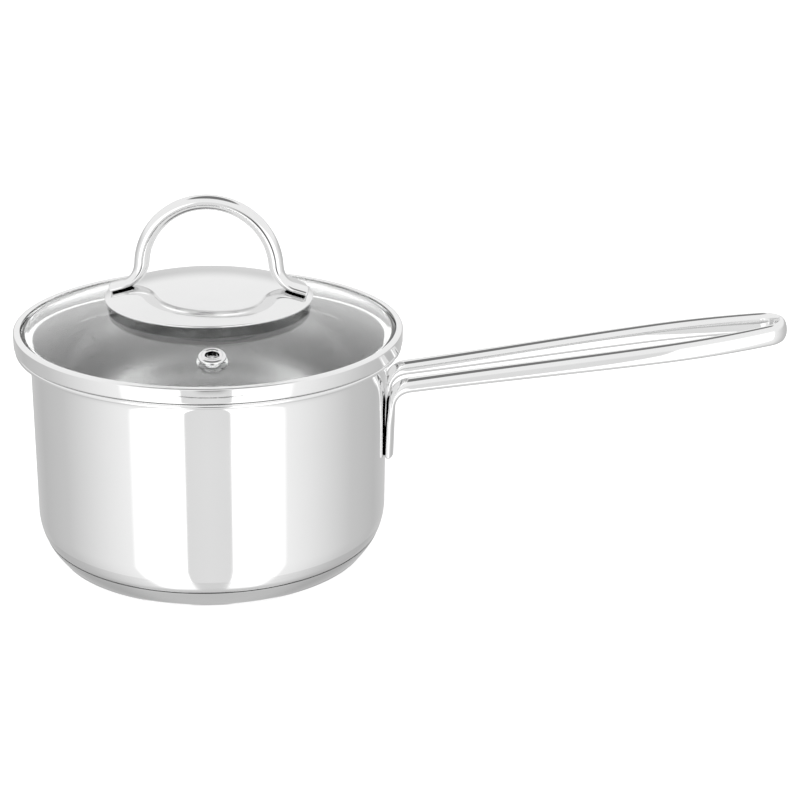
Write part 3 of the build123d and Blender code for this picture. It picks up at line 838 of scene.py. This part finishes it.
pan_steel().dress(pan)
turned_steel().dress(cap)
polished_steel("ring_steel", 0.88, 0.04, 0.0000008).dress(ring)
polished_steel("handle_steel", 0.88, 0.05).dress(handle)
polished_steel("knob_steel", 0.88, 0.045).dress(knob)
polished_steel("plate_steel", 0.87, 0.055, 0.0000006).dress(plate)
polished_steel("eyelet_steel", 0.86, 0.06).dress(eyelet)
lid_glass().dress(pane)
fastener_steel().dress(*cad("vent_washer", "knob_boss", "cup_washer", "spring_washer", "lid_screw"))
silicone().dress(*cad("upper_gasket", "lower_gasket"))
core_aluminium().dress(*cad("base_core"))


# ---------------------------------------------------------------- floor and light
# Signs of a flat panel's four corners
square = ((-1, -1), (1, -1), (1, 1), (-1, 1))


def panel(name, corners):
    """One four-cornered face, in metres."""
    mesh = bpy.data.meshes.new(name)
    mesh.from_pydata(corners, [], [(0, 1, 2, 3)])
    piece = bpy.data.objects.new(name, mesh)
    bpy.context.scene.collection.objects.link(piece)
    return piece


def make_floor():
    """A wide pale floor just under the base; mirror rays pass it and see the studio instead."""
    half = 6.0
    height = -0.0002
    floor = panel("floor", [(across * half, away * half, height) for across, away in square])
    finish = Finish("pale_floor", (0.9, 0.9, 0.9), Roughness=0.9)
    finish.shader.inputs["Emission Color"].default_value = (1, 1, 1, 1)
    finish.shader.inputs["Emission Strength"].default_value = 0.55
    finish.dress(floor)
    floor.visible_glossy = False


def camera_side():
    """The camera's direction from the pan's axis."""
    toward = camera.matrix_world.translation
    return math.atan2(toward.y, toward.x)


card_distance = 0.34             # metres from the pan's axis to the dark cards


def make_dark_card(name, half_width, low, high, strength):
    """A dark upright card before the lid, seen only in mirrors: it draws the thin dark lines.

    It fades out towards its edges, so that the lines are soft.
    """
    half_height = (high - low) / 2
    card = panel(name, [(0, side * half_width, rise * half_height) for side, rise in square])
    place = Matrix.Translation((card_distance, 0, low + half_height))
    card.matrix_world = Matrix.Rotation(camera_side(), 4, "Z") @ place
    finish = Finish(name + "_black", (0.02, 0.02, 0.02), Roughness=1.0)
    across = finish.y.math("ABSOLUTE").between(half_width, half_width * 0.3)
    upright = finish.z.math("ABSOLUTE").between(half_height, half_height * 0.4)
    finish.set("Alpha", across * upright * strength)
    finish.dress(card)
    card.visible_camera = False
    card.visible_diffuse = False
    card.visible_transmission = False
    card.visible_shadow = False


# Brightness of the studio round the horizon, by angle from the camera's side, 0 to 180 degrees
studio_bands = [
    (0.0, 0.82), (14.0, 0.80), (15.5, 1.55), (45.0, 1.55), (51.5, 0.98), (68.0, 0.88),
    (85.0, 0.76), (105.0, 0.62), (135.0, 0.54), (165.0, 0.62), (180.0, 0.7),
]
band_turn = math.radians(3)      # the bands' middle, clockwise of the camera
upper_tone = 0.95
overhead_drop = 0.75             # how much darker it is straight above
ground_tone = 0.72
inside_lift = 0.9                # extra light for what is seen through the glass


def light_studio():
    """White surroundings for the camera; for reflections, soft upright bands, pale above."""
    world = bpy.data.worlds.new("studio")
    bpy.context.scene.world = world
    world.use_nodes = True
    tree = world.node_tree
    tree.nodes.clear()
    heading = add_node(tree, "ShaderNodeTexCoord", output=0)
    x = add_node(tree, "ShaderNodeSeparateXYZ", v0=heading)
    y = Wire(tree, x.socket.node.outputs[1])
    z = Wire(tree, x.socket.node.outputs[2])
    facing = camera_side() - band_turn
    level = (x * x + y * y).math("SQRT").math("MAXIMUM", 0.0001)
    cosine = (x * math.cos(facing) + y * math.sin(facing)) / level
    away = cosine.math("MINIMUM", 0.99999).math("MAXIMUM", -0.99999).math("ARCCOSINE") / math.pi
    top = max(tone for _, tone in studio_bands)
    stops = [(angle / 180, tone / top) for angle, tone in studio_bands]
    bands = add_node(tree, "ShaderNodeValToRGB", {"stops": stops}, v0=away)
    bands = add_node(tree, "ShaderNodeRGBToBW", v0=bands) * top
    above = z.between(0.05, 0.3)
    overhead = z.between(0.88, 0.93)
    below = z.between(-0.85, -0.98)
    pale = upper_tone - overhead * overhead_drop
    tone = bands * (1 - above) + pale * above
    tone = tone * (1 - below) + below * ground_tone
    through = add_node(tree, "ShaderNodeLightPath", output="Transmission Depth")
    tone = tone * (1 + through.math("MINIMUM", 1.0) * inside_lift)
    seen = add_node(tree, "ShaderNodeLightPath")
    tone = tone * (1 - seen) + seen
    grey = add_node(tree, "ShaderNodeCombineXYZ", v0=tone, v1=tone, v2=tone)
    background = add_node(tree, "ShaderNodeBackground", v0=grey)
    output = tree.nodes.new("ShaderNodeOutputWorld")
    tree.links.new(background.socket, output.inputs[0])


make_floor()
make_dark_card("ring_card", 0.16, 0.0035, 0.0085, 0.75)
make_dark_card("knob_card", 0.06, 0.010, 0.18, 1.0)
light_studio()
bpy.context.scene.view_settings.view_transform = "Standard"
